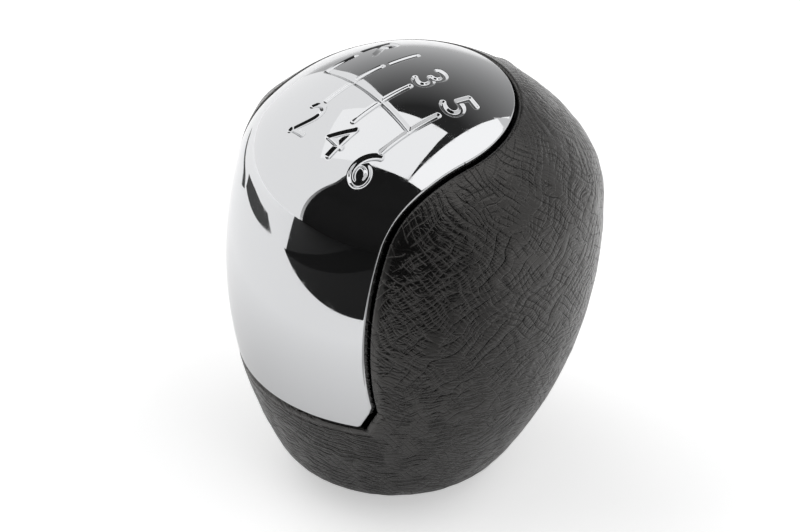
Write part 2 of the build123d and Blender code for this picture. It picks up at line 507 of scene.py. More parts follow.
def open_edge(obj, keep):
    """Numbers of the points along an open edge, in order; keep picks one edge where a mesh has several."""
    mesh = bmesh.new()
    mesh.from_mesh(obj.data)
    follow = {}
    for edge in mesh.edges:
        if edge.is_boundary and keep(edge.verts[0].co):
            loop = edge.link_loops[0]
            follow[loop.vert.index] = loop.link_loop_next.vert.index
    order = [next(iter(follow))]
    while follow[order[-1]] != order[0]:
        order.append(follow[order[-1]])
    mesh.free()
    return order


def merge_points(obj):
    """Merges the points of a mesh that all but coincide, in the order of their places."""
    bpy.ops.object.select_all(action="DESELECT")
    bpy.context.view_layer.objects.active = obj
    bpy.ops.object.mode_set(mode="EDIT")
    bmesh.from_edit_mesh(obj.data).verts.sort(key=lambda vertex: vertex.co.dot(sorting_slant))
    bpy.ops.mesh.select_all(action="SELECT")
    bpy.ops.mesh.remove_doubles(threshold=merge_distance)
    bpy.ops.object.mode_set(mode="OBJECT")


def true_edge(obj, margin, inset, keep):
    """Puts an open edge exactly on the outline drawn out by a margin."""
    cutter = outline_cutter(margin)
    order = open_edge(obj, keep)
    points = points_of(obj)
    for _ in range(settle_rounds):
        on_wall = [cutter.closest_point_on_mesh(point)[1] for point in points[order]]
        points[order] = settle(np.array(on_wall), inset)
    move_points(obj, points)
    bpy.data.objects.remove(cutter)
    merge_points(obj)


# %% [markdown]
# The groove's walls are those of the outline's cutter: upright at the sides and the back, level at the
# foot. From the skin to such a wall the edge follows an arc, which is as round as the space up to the
# wall allows, and then it goes down the wall. The places of all rows of the edge are worked out first.

# %% Places of an edge that rolls over
roll_steps = 8
wall_steps = (0.25, 0.6, 1.0)
edge_span = 0.7 * MM
foot_reach = 4 * corner_height


def run_along(points, span):
    """The way along a closed row of points at each of them, taken between a span before and a span after."""
    steps = np.linalg.norm(np.roll(points, -1, axis=0) - points, axis=1)
    length = steps.sum()
    at = np.cumsum(steps) - steps
    ahead = [np.interp(at + span, at, points[:, k], period=length) for k in range(3)]
    behind = [np.interp(at - span, at, points[:, k], period=length) for k in range(3)]
    return np.stack(ahead, axis=1) - np.stack(behind, axis=1)


def unit(vectors):
    """Vectors drawn to a length of 1."""
    return vectors / np.linalg.norm(vectors, axis=1)[:, None]


def dot(first, second):
    """Products of vectors row by row, as a column."""
    return (first * second).sum(axis=1)[:, None]


def rolled_places(points, normals, space, thickness):
    """Places of an edge's rows as it rolls over to a wall at a space, down to a thickness under the skin."""
    run = unit(run_along(points, edge_span))
    near_foot = np.abs(points[:, 2] - panel_foot_z) < foot_reach
    in_wall = np.where(near_foot[:, None], (0.0, 1.0, 0.0), (0.0, 0.0, 1.0))
    onwards = unit(np.cross(run, normals))
    wall_normal = unit(np.cross(run, in_wall))
    wall_normal *= np.sign(dot(wall_normal, onwards))
    down = unit(dot(normals, wall_normal) * wall_normal - normals)
    turn = np.arctan2(-dot(down, normals), dot(down, onwards))
    used = np.sin(turn) * dot(onwards, wall_normal) - (1 - np.cos(turn)) * dot(normals, wall_normal)
    radius = space / used
    depth = (thickness - radius * (1 - np.cos(turn))) / -dot(down, normals)
    places = []
    for share in np.linspace(0, 1, roll_steps + 1)[1:]:
        across, sunk = np.sin(share * turn), 1 - np.cos(share * turn)
        places.append(points + radius * (across * onwards - sunk * normals))
    return places + [places[-1] + step * depth * down for step in wall_steps]


# %% [markdown]
# Then faces are drawn between the rows, one row after another, as extruding the edge would do. The first
# row is the open edge itself, so skin and rolled edge are one mesh and shade smoothly into each other.

# %% Roll an open edge over
def roll_edge(obj, normals_at, space, thickness, keep):
    """Extrudes an open edge over to a wall at a space and down it, and gives the edge's point numbers."""
    order = open_edge(obj, keep)
    points = points_of(obj)[order]
    places = rolled_places(points, normals_at(points), space, thickness)
    mesh = bmesh.new()
    mesh.from_mesh(obj.data)
    mesh.verts.ensure_lookup_table()
    ring = [mesh.verts[i] for i in order]
    for place in places:
        next_ring = [mesh.verts.new(p) for p in place]
        for i in range(len(ring)):
            j = (i + 1) % len(ring)
            mesh.faces.new((ring[j], ring[i], next_ring[i], next_ring[j])).smooth = True
        ring = next_ring
    mesh.to_mesh(obj.data)
    mesh.free()
    obj.data.update()
    print(obj.name, "edge rolled over", len(order), "points")
    return order


# %% [markdown]
# ## The plated panel
# A moulded panel is as smooth as its mould, so its mesh is laid over the form like a sheet: a grid, whose
# columns run across the knob and whose rows turn about a line through the dome's middle. Rows and columns
# are close together where the gate and the numbers are engraved. Each point goes out along its row's ray
# until it meets the form.

# %% Sheet over the dome and down the front
panel_inset = 0.1 * MM
engraved_half_width = 14.6 * MM
sheet_half_width = 21.0 * MM
fine_columns, side_columns = 118, 14
back_rows, fine_rows, front_rows = 32, 112, 92
row_turns = np.radians((-44, -11, 37, 124))
first_guess = 45 * MM
search_rounds = 12
least_slope = 0.2


def graded(counts, stops):
    """Values that pass the stops one after another, with a given number of equal steps between each two."""
    runs = [np.linspace(a, b, n, endpoint=False) for n, a, b in zip(counts, stops, stops[1:])]
    return np.append(np.concatenate(runs), stops[-1])


def wrapped_sheet(name, across, turns, inset):
    """A grid laid over the form, by its columns' places in x and its rows' angles from upright."""
    x, turn = (values.ravel() for values in np.meshgrid(across, turns))
    rays = np.stack((0 * x, -np.sin(turn), np.cos(turn)), axis=1)
    start = np.stack((x, 0 * x + dome_middle[1], 0 * x + dome_middle[2]), axis=1)
    far = np.full(len(x), first_guess)
    for _ in range(search_rounds):
        distance, normals = form_at(start + far[:, None] * rays, inset)
        far -= distance / np.maximum((rays * normals).sum(axis=1), least_slope)
    places = start + far[:, None] * rays
    return laid_grid(name, places.reshape(len(turns), len(across), 3))


sheet_columns = graded(
    (side_columns, fine_columns, side_columns),
    (-sheet_half_width, -engraved_half_width, engraved_half_width, sheet_half_width),
)
sheet_rows = graded((back_rows, fine_rows, front_rows), row_turns)
chrome_panel = wrapped_sheet("plated_panel", sheet_columns, sheet_rows, panel_inset)
print("sheet of", len(chrome_panel.data.polygons), "faces")

# %% [markdown]
# A mould's parting line gives the real panel a sharp outline. Here a boolean cuts it. A boolean wants
# solids, so the sheet's border is drawn in to the middle line, the solid is cut with the outline's
# cutter, and then only the faces of the skin are kept.

# %% Cut the sheet along the outline
rim_space = 0.16 * MM
same_place = 0.001 * MM
skin_tolerance = 0.05 * MM


def close_to_middle(sheet):
    """Closes a wrapped sheet to a solid by drawing its border in to the line that its rows turn about."""
    bpy.ops.object.mode_set(mode="EDIT")
    bpy.ops.mesh.select_mode(type="EDGE")
    bpy.ops.mesh.select_all(action="DESELECT")
    bpy.ops.mesh.select_non_manifold()
    bpy.ops.mesh.extrude_edges_move()
    for vertex in bmesh.from_edit_mesh(sheet.data).verts:
        if vertex.select:
            vertex.co.yz = dome_middle[1:]
    bpy.ops.mesh.remove_doubles(threshold=same_place)
    bpy.ops.mesh.select_all(action="SELECT")
    bpy.ops.mesh.normals_make_consistent(inside=False)
    bpy.ops.object.mode_set(mode="OBJECT")


def cut(obj, cutter, operation):
    """Cuts a solid with a cutter, which is used up."""
    boolean = obj.modifiers.new("cut", "BOOLEAN")
    boolean.object = cutter
    boolean.operation = operation
    boolean.solver = "EXACT"
    apply_modifiers(obj)
    bpy.data.objects.remove(cutter)


def keep_faces(obj, wanted):
    """Deletes the faces whose middles aren't wanted."""
    bpy.ops.object.select_all(action="DESELECT")
    bpy.context.view_layer.objects.active = obj
    bpy.ops.object.mode_set(mode="EDIT")
    bpy.ops.mesh.select_mode(type="FACE")
    mesh = bmesh.from_edit_mesh(obj.data)
    middles = np.array([face.calc_center_median() for face in mesh.faces])
    for face, stays in zip(mesh.faces, wanted(middles)):
        face.select_set(not stays)
    bpy.ops.mesh.delete(type="FACE")
    bpy.ops.object.mode_set(mode="OBJECT")
    merge_points(obj)


close_to_middle(chrome_panel)
cut(chrome_panel, outline_cutter(-rim_space), "INTERSECT")
keep_faces(chrome_panel, lambda middles: np.abs(form_at(middles, panel_inset)[0]) < skin_tolerance)
true_edge(chrome_panel, -rim_space, panel_inset, keep=everywhere)
print("panel skin of", len(chrome_panel.data.polygons), "faces")

# %% [markdown]
# ## Engraving
# The gate and its numbers are sunk into the panel with a narrow floor and long soft walls, and they are
# plated with it. Cutting them out would leave long thin faces in the mirror. Instead thin plates of the
# same shapes are laid on the dome, for the panel's points to measure how near they are. First the plates:
# narrow grids for the gate, and text turned to meshes for the numbers. Places of the numbers are in
# millimetres.

# %% Plates in the shapes of the gate and the numbers
gate_spacing = 7.3 * MM
gate_bar_y = -5.4 * MM
gate_reach = 5.2 * MM
gate_columns = 4
floor_width = 0.12 * MM
plate_steps = 40
number_size = 8.1 * MM
number_weight = -0.28 * MM
number_cuts = 3
gate_x = [(k - (gate_columns - 1) / 2) * gate_spacing for k in range(gate_columns)]
upper_numbers = {"R": (-10.1, 4.0), "1": (-3.3, 3.4), "3": (3.75, 3.4), "5": (10.8, 3.7)}
lower_numbers = {"2": (-3.2, -14.2), "4": (4.3, -14.1), "6": (11.0, -13.8)}
plates = []


def drop_on_dome(plate):
    """Lowers a flat plate straight down on to the panel's dome."""
    points = points_of(plate)
    radius = arc_radii[0] - panel_inset
    aside, along = points[:, 0], points[:, 1] - dome_middle[1]
    points[:, 2] = dome_middle[2] + np.sqrt(radius**2 - aside**2 - along**2)
    move_points(plate, points)
    plates.append(plate)


def gate_plate(x, y, length, turned):
    """One straight run of the gate, about its middle."""
    bpy.ops.object.select_all(action="DESELECT")
    bpy.ops.mesh.primitive_grid_add(x_subdivisions=plate_steps, y_subdivisions=2, size=1, location=(x, y, 0))
    plate = bpy.context.object
    plate.scale = (length, floor_width, 1)
    plate.rotation_euler = (0, 0, pi / 2 if turned else 0)
    bpy.ops.object.transform_apply()
    drop_on_dome(plate)


def number_plate(sign, x, y):
    """One number or letter, filled and divided finely enough to bend with the dome."""
    bpy.ops.object.select_all(action="DESELECT")
    bpy.ops.object.text_add(location=(x, y, 0))
    plate = bpy.context.object
    plate.data.body = sign
    plate.data.size = number_size
    plate.data.offset = number_weight
    plate.data.align_x = "CENTER"
    plate.data.align_y = "CENTER"
    bpy.ops.object.convert(target="MESH")
    bpy.ops.object.transform_apply()
    bpy.ops.object.mode_set(mode="EDIT")
    bpy.ops.mesh.select_all(action="SELECT")
    bpy.ops.mesh.subdivide(number_cuts=number_cuts)
    bpy.ops.object.mode_set(mode="OBJECT")
    drop_on_dome(plate)


gate_plate(0, gate_bar_y, gate_x[-1] - gate_x[0], turned=False)
gate_plate(gate_x[0], gate_bar_y + gate_reach / 2, gate_reach, turned=True)
for x in gate_x[1:]:
    gate_plate(x, gate_bar_y, 2 * gate_reach, turned=True)
for sign, (x, y) in {**upper_numbers, **lower_numbers}.items():
    number_plate(sign, x * MM, y * MM)
print(len(plates), "plates")

# %% [markdown]
# A modifier measures how near each point of the panel is to the plates and keeps it as a weight. Faces
# near the plates are divided first, so that the walls have enough points to be round. Then a displacement
# sinks each point by its weight.

# %% Sink the panel under the plates
engraved_depth = 0.34 * MM
engraved_slope = 0.58 * MM
refined_reach = 0.7 * MM
refining_cuts = 2
bpy.ops.object.select_all(action="DESELECT")
for each_plate in plates:
    each_plate.select_set(True)
bpy.context.view_layer.objects.active = plates[0]
bpy.ops.object.join()
engraving = plates[0]


def mark_near(obj, target, reach):
    """A group of the points near a target: their weight is 1 on it and falls to 0 at a reach."""
    group = obj.vertex_groups.new(name="near")
    group.add(range(len(obj.data.vertices)), 1.0, "REPLACE")
    nearness = obj.modifiers.new("nearness", "VERTEX_WEIGHT_PROXIMITY")
    nearness.vertex_group = group.name
    nearness.target = target
    nearness.proximity_mode = "GEOMETRY"
    nearness.proximity_geometry = {"FACE"}
    nearness.min_dist = reach
    nearness.max_dist = 0
    nearness.falloff_type = "SMOOTH"
    apply_modifiers(obj)


def divide_near(obj, cuts):
    """Divides the faces that have a point near the target."""
    group = obj.vertex_groups["near"].index
    bpy.ops.object.mode_set(mode="EDIT")
    bpy.ops.mesh.select_mode(type="FACE")
    mesh = bmesh.from_edit_mesh(obj.data)
    weights = mesh.verts.layers.deform.verify()
    for face in mesh.faces:
        face.select_set(any(v[weights].get(group, 0) > 0 for v in face.verts))
    bpy.ops.mesh.subdivide(number_cuts=cuts)
    bpy.ops.object.mode_set(mode="OBJECT")


mark_near(chrome_panel, engraving, refined_reach)
divide_near(chrome_panel, refining_cuts)
chrome_panel.vertex_groups.clear()
move_points(chrome_panel, settle(points_of(chrome_panel), panel_inset))
mark_near(chrome_panel, engraving, engraved_slope)
sinking = chrome_panel.modifiers.new("sinking", "DISPLACE")
sinking.direction = "NORMAL"
sinking.strength = -engraved_depth
sinking.mid_level = 0
sinking.vertex_group = "near"
apply_modifiers(chrome_panel)
chrome_panel.vertex_groups.clear()
bpy.data.objects.remove(engraving)
print("panel of", len(chrome_panel.data.polygons), "faces")

# %% [markdown]
# The panel is a shell of even thickness. Its rim rolls over to the groove's wall and goes down it, and a
# second, coarser sheet closes it underneath. The sheet keeps clear of the rim by a small space, and the
# two open edges are bridged. A solidify modifier would be shorter, but it would carry the engraving
# through to the underside.

# %% Roll the panel's rim over, and close its underside
panel_thickness = 2.4 * MM
underside_space = 0.4 * MM
underside_tolerance = 0.1 * MM
underside_columns, underside_rows = 25, 61
under_inset = panel_inset + panel_thickness
roll_edge(
    chrome_panel,
    normals_at=lambda points: form_at(points, panel_inset)[1],
    space=rim_space,
    thickness=panel_thickness,
    keep=everywhere,
)
underside = wrapped_sheet(
    "panel_underside",
    np.linspace(-sheet_half_width, sheet_half_width, underside_columns),
    np.linspace(row_turns[0], row_turns[-1], underside_rows),
    under_inset,
)
close_to_middle(underside)
cut(underside, outline_cutter(-underside_space), "INTERSECT")
keep_faces(underside, lambda middles: np.abs(form_at(middles, under_inset)[0]) < underside_tolerance)
bpy.ops.object.select_all(action="DESELECT")
underside.select_set(True)
chrome_panel.select_set(True)
bpy.context.view_layer.objects.active = chrome_panel
bpy.ops.object.join()
bpy.ops.object.mode_set(mode="EDIT")
bpy.ops.mesh.select_mode(type="EDGE")
bpy.ops.mesh.select_all(action="DESELECT")
bpy.ops.mesh.select_non_manifold(extend=False, use_wire=False, use_boundary=True, use_multi_face=False)
bpy.ops.mesh.bridge_edge_loops()
bpy.ops.mesh.select_all(action="SELECT")
bpy.ops.mesh.normals_make_consistent(inside=False)
bpy.ops.mesh.faces_shade_smooth()
bpy.ops.object.mode_set(mode="OBJECT")
print("closed panel of", len(chrome_panel.data.polygons), "faces")

# %% [markdown]
# ## The leather
# The leather is pulled over the core from above, glued down, turned in round the panel and cut off under
# the knob. Its mesh is a tube: columns go round the leaning axis, and rows go down over the shoulder and
# the flank, round the lower rim and in to the base ring. The lower rim is a ball rolled along inside the
# flank and the table, so its rows follow the ball. The ends are closed, because the opening is cut by a
# boolean.

# %% Leather tube
leather_columns = 480
dome_rows, shoulder_rows, flank_rows, rim_rows, under_rows = 56, 20, 104, 30, 6
top_turn = radians(12)
base_round = 8.6 * MM
ring_hole = 11.1 * MM
halvings = 40
straight_down = np.array((0, 0, -1))


def form_point(azimuth, turn, inset=0.0):
    """Points of the form and normals, by azimuth about its axis and turn of the normal from the axis."""
    arc = np.clip(np.searchsorted(arc_turns, turn, side="right") - 1, 0, 2)
    centres = np.array(form_centres)[arc]
    radius = centres[..., 0] + (arc_radii[arc] - inset) * np.sin(turn)
    height = centres[..., 1] + (arc_radii[arc] - inset) * np.cos(turn)
    round_about = np.cos(azimuth)[..., None] * axis_back + np.sin(azimuth)[..., None] * np.array((1, 0, 0))
    normals = np.sin(turn)[..., None] * round_about + np.cos(turn)[..., None] * axis_up
    return axis_foot + radius[..., None] * round_about + height[..., None] * axis_up, normals


def last_turn(azimuth):
    """The turn at which a ball in the lower rim leaves the flank, found by halving."""
    low, high = np.full(len(azimuth), arc_turns[2]), np.full(len(azimuth), arc_turns[3])
    for _ in range(halvings):
        middle = (low + high) / 2
        above = form_point(azimuth, middle, base_round)[0][:, 2] > base_round
        low, high = np.where(above, middle, low), np.where(above, high, middle)
    return low


def shares(steps):
    """Equal shares of a way, without its start."""
    return np.linspace(0, 1, steps + 1)[1:]


azimuths = np.linspace(0, 2 * pi, leather_columns + 1)
flank_ends = last_turn(azimuths)
tube_rows = []
for turn in graded((dome_rows, shoulder_rows), (top_turn, arc_turns[1], arc_turns[2])):
    tube_rows.append(form_point(azimuths, np.full(len(azimuths), turn))[0])
for share in shares(flank_rows):
    tube_rows.append(form_point(azimuths, arc_turns[2] + share * (flank_ends - arc_turns[2]))[0])
balls, flank_normals = form_point(azimuths, flank_ends, base_round)
swing = np.arccos(-flank_normals[:, 2])[:, None]
for share in shares(rim_rows):
    towards = np.sin((1 - share) * swing) * flank_normals + np.sin(share * swing) * straight_down
    tube_rows.append(balls + base_round * towards / np.sin(swing))
rim_end = tube_rows[-1]
ring_edge = rim_end / np.linalg.norm(rim_end[:, :2], axis=1)[:, None] * ring_hole
for share in shares(under_rows):
    tube_rows.append((1 - share) * rim_end + share * ring_edge)

leather = laid_grid("leather_skin", np.array(tube_rows))
bpy.ops.object.mode_set(mode="EDIT")
bpy.ops.mesh.select_all(action="SELECT")
bpy.ops.mesh.remove_doubles(threshold=same_place)
bpy.ops.mesh.fill_holes(sides=0)
bpy.ops.mesh.select_all(action="SELECT")
bpy.ops.mesh.normals_make_consistent(inside=False)
bpy.ops.object.mode_set(mode="OBJECT")
print("leather tube of", len(leather.data.polygons), "faces")

# %% [markdown]
# The opening is the panel's outline drawn out by the groove and by the space that the leather needs to
# round over. Its edge then rolls in and goes down to the core. The hem under the knob rolls in the same
# way, up into the slot round the base ring.

# %% Opening for the panel, with its edge rolled over
groove_width = 0.48 * MM
lip_space, lip_depth = 0.8 * MM, 3.0 * MM
hem_space, hem_depth = 0.3 * MM, 1.5 * MM
lowest_lip = 5 * MM
inside_hole = 0.9 * ring_hole


def on_leather(middles):
    """Whether points lie on the leather's outside, and not in the cut or across the ring's hole."""
    on_skin = np.abs(form_at(middles)[0]) < skin_tolerance
    under = middles[:, 2] < panel_foot_z - lowest_lip
    in_hole = np.linalg.norm(middles, axis=1) < inside_hole
    return on_skin | (under & ~in_hole)


def above_hem(point):
    """Whether a point is on the opening's edge, and not on the one round the ring."""
    return point[2] > lowest_lip


cut(leather, outline_cutter(groove_width + lip_space), "DIFFERENCE")
keep_faces(leather, on_leather)
true_edge(leather, groove_width + lip_space, 0.0, keep=above_hem)
leather_edge = roll_edge(
    leather,
    normals_at=lambda points: form_at(points)[1],
    space=lip_space,
    thickness=lip_depth,
    keep=above_hem,
)
roll_edge(
    leather,
    normals_at=lambda points: np.tile((0, 0, -1.0), (len(points), 1)),
    space=hem_space,
    thickness=hem_depth,
    keep=lambda point: not above_hem(point),
)
leather.data.shade_smooth()
print("leather of", len(leather.data.polygons), "faces")

# %% [markdown]
# Leather is tight at its edge and looser away from it. So each point keeps its distance from the
# opening's edge as a value of its own, for the mesh here and for the finish later. A search tree finds
# the nearest point of the edge quickly.

# %% How far the leather is from its edge
leather_points = points_of(leather)
edge_tree = kdtree.KDTree(len(leather_edge))
for number in leather_edge:
    edge_tree.insert(leather_points[number], number)
edge_tree.balance()
edge_distance = np.array([edge_tree.find(point)[2] for point in leather_points]) / MM


def keep_value(name, values):
    """Keeps one value for each point of the leather, under a name that a material can read."""
    stored = leather.data.attributes.new(name, "FLOAT", "POINT")
    stored.data.foreach_set("value", values.astype(np.float32))


keep_value("edge_distance", edge_distance)
print("leather reaches", round(edge_distance.max(), 1), "mm from its edge")

# %% [markdown]
# Glue and hand leave the leather slightly uneven. A cloud texture presses it in a little, nowhere out, so
# that it stays within its solid. Sculpting would do too, but the texture gives the same dents each time.
# Near the edge the weight is nothing, so the groove stays even.

# %% Unevenness under the leather
unevenness = 0.16 * MM
lump_size = 2.6 * MM
even_width, easing_width = 2, 4
loose = leather.vertex_groups.new(name="loose")
for number, weight in enumerate(np.clip((edge_distance - even_width) / easing_width, 0, 1)):
    loose.add([number], float(weight), "REPLACE")
lumps = bpy.data.textures.new("lumps", "CLOUDS")
lumps.noise_scale = lump_size
lumps.noise_depth = 1
uneven = leather.modifiers.new("uneven", "DISPLACE")
uneven.texture = lumps
uneven.texture_coords = "LOCAL"
uneven.strength = unevenness
uneven.mid_level = 1
uneven.vertex_group = loose.name
apply_modifiers(leather)
leather.vertex_groups.clear()
print("leather pressed in by up to", round(unevenness / MM, 2), "mm")

# %% [markdown]
# Behind the panel the leather is folded under by hand, and two of the folds lift it. They show as small
# humps in the outline, one on the left and one on the right. Each is a round swell, given by its place,
# height and size in millimetres.

# %% Humps over the folds
fold_humps = (((-24.5, -8.7, 55.9), 0.55, 4.0), ((-5.0, 24.6, 60.9), 0.4, 1.7))
pressed_points = points_of(leather)
hump_lift = np.zeros(len(pressed_points))
for hump_place, hump_height, hump_size in fold_humps:
    away = np.linalg.norm(pressed_points / MM - np.array(hump_place), axis=1)
    hump_lift += hump_height * MM * np.exp(-((away / hump_size) ** 2))
outward = form_at(pressed_points)[1]
move_points(leather, pressed_points + hump_lift[:, None] * outward)
print("humps up to", round(hump_lift.max() / MM, 2), "mm")

# %% [markdown]
# The leather's finish needs to know how far down the form a place is, measured along the surface. That
# way follows from the tilt of the normal, because each arc's length is its radius times its turn.

# %% Way down the leather
arc_ends = np.append(0, np.cumsum(arc_radii * np.diff(arc_turns))) / MM
tilt = np.arccos(np.clip(outward @ axis_up, -1, 1))
way_down = np.interp(tilt, arc_turns, arc_ends)
keep_value("way_down", way_down)
print("way down the leather", round(way_down.max(), 1), "mm")

# %% [markdown]
# ## Finishes
# Each finish is a node material on the object's own coordinates. Places are read in millimetres, so a
# scale of 1 is one cell or wave per millimetre. A picture of real leather or metal could be wrapped on
# instead, but it would show its seams on a form that is round both ways.

# %% Start of a finish
def new_finish(name):
    """A material with its shader, and the place on the piece in millimetres."""
    material = bpy.data.materials.new(name)
    material.use_nodes = True
    tree = material.node_tree
    place = add_node(tree, "ShaderNodeTexCoord").outputs["Object"]
    scale = {"Vector": place, "Scale": (1 / MM,) * 3}
    millimetres = add_node(tree, "ShaderNodeMapping", scale).outputs["Vector"]
    return material, tree, tree.nodes["Principled BSDF"], millimetres


def noise_of(tree, place, scale, detail):
    """A noise texture by place, scale and detail."""
    return add_node(tree, "ShaderNodeTexNoise", {"Vector": place, "Scale": scale, "Detail": detail})


# %% [markdown]
# ### Leather
# Leather creases where it is pulled over a form. Its lines are counted round the knob and down it, so the
# finish first works out how far round and how far down a place is. Noise bends the lines and lets them
# fade here and there.

# %% Places for the leather's creases
leather_finish, hide, hide_shader, hide_place = new_finish("leather")
foot_place = tuple(axis_foot / MM)
from_foot = add_node(hide, "ShaderNodeVectorMath", {0: hide_place, 1: foot_place}, operation="SUBTRACT")
back_parts = {0: from_foot.outputs[0], 1: tuple(axis_back)}
towards_back = add_node(hide, "ShaderNodeVectorMath", back_parts, operation="DOT_PRODUCT").outputs["Value"]
towards_right = add_node(hide, "ShaderNodeSeparateXYZ", {"Vector": from_foot.outputs[0]}).outputs["X"]
turns_round = math_of(hide, "DIVIDE", math_of(hide, "ARCTAN2", towards_right, towards_back), 2 * pi)
down_form = add_node(hide, "ShaderNodeAttribute", attribute_name="way_down").outputs["Fac"]
from_edge = add_node(hide, "ShaderNodeAttribute", attribute_name="edge_distance").outputs["Fac"]
height_z = add_node(hide, "ShaderNodeSeparateXYZ", {"Vector": hide_place}).outputs["Z"]
wide_bend = noise_of(hide, hide_place, scale=0.1, detail=0.0)
close_bend = noise_of(hide, hide_place, scale=0.22, detail=1.0)
fading = noise_of(hide, hide_place, scale=0.3, detail=1.0)
print("creases start from", len(hide.nodes), "nodes")

# %% [markdown]
# One set of lines leaves cushions between them. A whole number of lines goes round the knob, so the
# pattern closes. The height is 0 in a crease and 1 on a cushion, partly steep and partly a soft pillow.
# Where a line fades, its crease fills up to the cushions' height.

# %% Cushions between creases
pillow_share = 0.3
faded_from, faded_to = -0.1, 0.05
faded_depth = 0.1
half_gap = 0.5


def weighted(*parts):
    """Sum of values, each times its weight."""
    total = 0.0
    for value, weight in parts:
        total = math_of(hide, "ADD", total, math_of(hide, "MULTIPLY", value, weight))
    return total


def channel(noise, number):
    """One of the three independent values of a noise, about its middle."""
    parts = add_node(hide, "ShaderNodeSeparateColor", {"Color": noise.outputs["Color"]})
    return math_of(hide, "SUBTRACT", parts.outputs[number], 0.5)


def cushions(round_knob, per_mm, number, wide, close, width):
    """Height of one set's cushions, and of the same without the pillow, by counts of lines and bends."""
    bend = weighted((channel(wide_bend, number), wide), (channel(close_bend, number), close))
    phase = math_of(hide, "ADD", weighted((turns_round, round_knob), (down_form, per_mm)), bend)
    away = math_of(hide, "ABSOLUTE", math_of(hide, "SUBTRACT", math_of(hide, "FRACT", phase), half_gap))
    crease = ramp_of(hide, away, 0.0, width)
    pillow = ramp_of(hide, away, 0.0, half_gap)
    depth = ramp_of(hide, channel(fading, number), faded_from, faded_to, faded_depth, 1.0)
    levelled = []
    for height in (weighted((crease, 1 - pillow_share), (pillow, pillow_share)), crease):
        missing = math_of(hide, "MULTIPLY", math_of(hide, "SUBTRACT", 1.0, height), depth)
        levelled.append(math_of(hide, "SUBTRACT", 1.0, missing))
    return levelled


# %% [markdown]
# Two sets of lines run aslant round the knob and cross, so they leave slim diamonds between them, and
# finer sets divide these. Two more sets run level, for the low part of the knob, where the leather is
# pushed together. The numbers say how many lines go round the knob and how many come with each millimetre
# down, which of the noises' values bends them and by how many lines, and how wide a crease is as a share
# of the line's spacing.

# %% Six sets of creases
left, left_crease = cushions(round_knob=92, per_mm=0.55, number=0, wide=3.6, close=1.6, width=0.1)
right, right_crease = cushions(round_knob=74, per_mm=-0.42, number=1, wide=3.6, close=1.6, width=0.1)
left_fine, _ = cushions(round_knob=180, per_mm=1.1, number=1, wide=8.0, close=4.0, width=0.2)
right_fine, _ = cushions(round_knob=180, per_mm=-1.1, number=0, wide=8.0, close=4.0, width=0.2)
levels, _ = cushions(round_knob=7, per_mm=0.82, number=2, wide=4.0, close=3.0, width=0.14)
levels_fine, _ = cushions(round_knob=-12, per_mm=1.7, number=2, wide=6.0, close=4.0, width=0.22)
print("six sets of creases in", len(hide.nodes), "nodes")

# %% [markdown]
# The sets are added up by weight. Low on the knob the level creases take over from the slanted ones. Near
# the panel the leather is pulled tight and its creases are shallow, in a strip that is narrow low down
# and wide at the top. Heights and widths are in millimetres. Fine pores cover all of it. A displacement
# would need millions of faces for this, so the relief is a bump, on a mesh whose own dents and humps
# carry the larger forms.

# %% The leather's relief
level_from, level_to = 42.0, 20.0
aslant_low, level_high = 0.45, 0.15
tight_from, tight_to = 35.0, 60.0
tight_narrow, tight_wide = 1.0, 4.5
tight_start, tight_relief = 0.1, 0.4
main_share, fine_share = 0.5, 0.13
wrinkle_share, fine_wrinkle_share = 0.7, 0.3
pore_share = 0.08
relief_depth = 0.4 * MM
low_down = ramp_of(hide, height_z, level_from, level_to)
aslant_share = ramp_of(hide, low_down, 0.0, 1.0, to_low=1.0, to_high=aslant_low)
level_share = ramp_of(hide, low_down, 0.0, 1.0, to_low=level_high, to_high=1.0)
tight_width = ramp_of(hide, height_z, tight_from, tight_to, tight_narrow, tight_wide)
from_tight = math_of(hide, "DIVIDE", from_edge, tight_width)
loose_share = ramp_of(hide, from_tight, tight_start, 1.0, to_low=tight_relief)
net = weighted((left, main_share), (right, main_share), (left_fine, fine_share), (right_fine, fine_share))
wrinkles = weighted((levels, wrinkle_share), (levels_fine, fine_wrinkle_share))
creased = weighted((net, aslant_share), (wrinkles, level_share))
pores = noise_of(hide, hide_place, scale=5.0, detail=3.0).outputs["Fac"]
relief = weighted((creased, loose_share), (pores, pore_share))
hide_bump = add_node(hide, "ShaderNodeBump", {"Height": relief, "Strength": 1.0, "Distance": relief_depth})
hide.links.new(hide_bump.outputs["Normal"], hide_shader.inputs["Normal"])
print("relief", round(relief_depth / MM, 2), "mm deep")

# %% [markdown]
# The leather is dyed black and sealed, so its cushions shine a little and its creases are duller; the
# creases are also painted blacker, as painted shade. Along the panel's lower half the lip is painted a
# lighter grey, as a painted highlight on its rolled edge. The shine is slightly warm.

# %% The leather's colour and shine
# Painted shade: the creases get a darker black than the cushions.
crease_shade_black = (0.0025, 0.0025, 0.0024, 1)
cushion_black = (0.0075, 0.0074, 0.0073, 1)
# Painted highlight: the lighter grey of the lip's rolled edge.
lip_highlight_grey = (0.055, 0.054, 0.053, 1)
crease_roughness, cushion_roughness = 0.38, 0.21
lip_light_width, lip_light_full = 0.8, 0.1
lip_light_below, lip_light_wholly = 58.0, 46.0
leather_gloss = 0.62
warm_shine = (1.0, 0.965, 0.935, 1)


def mixed(factor, first, second):
    """A mix of two colours, each a value or the output of another node."""
    return add_node(hide, "ShaderNodeMix", {0: factor, 6: first, 7: second}, data_type="RGBA").outputs[2]


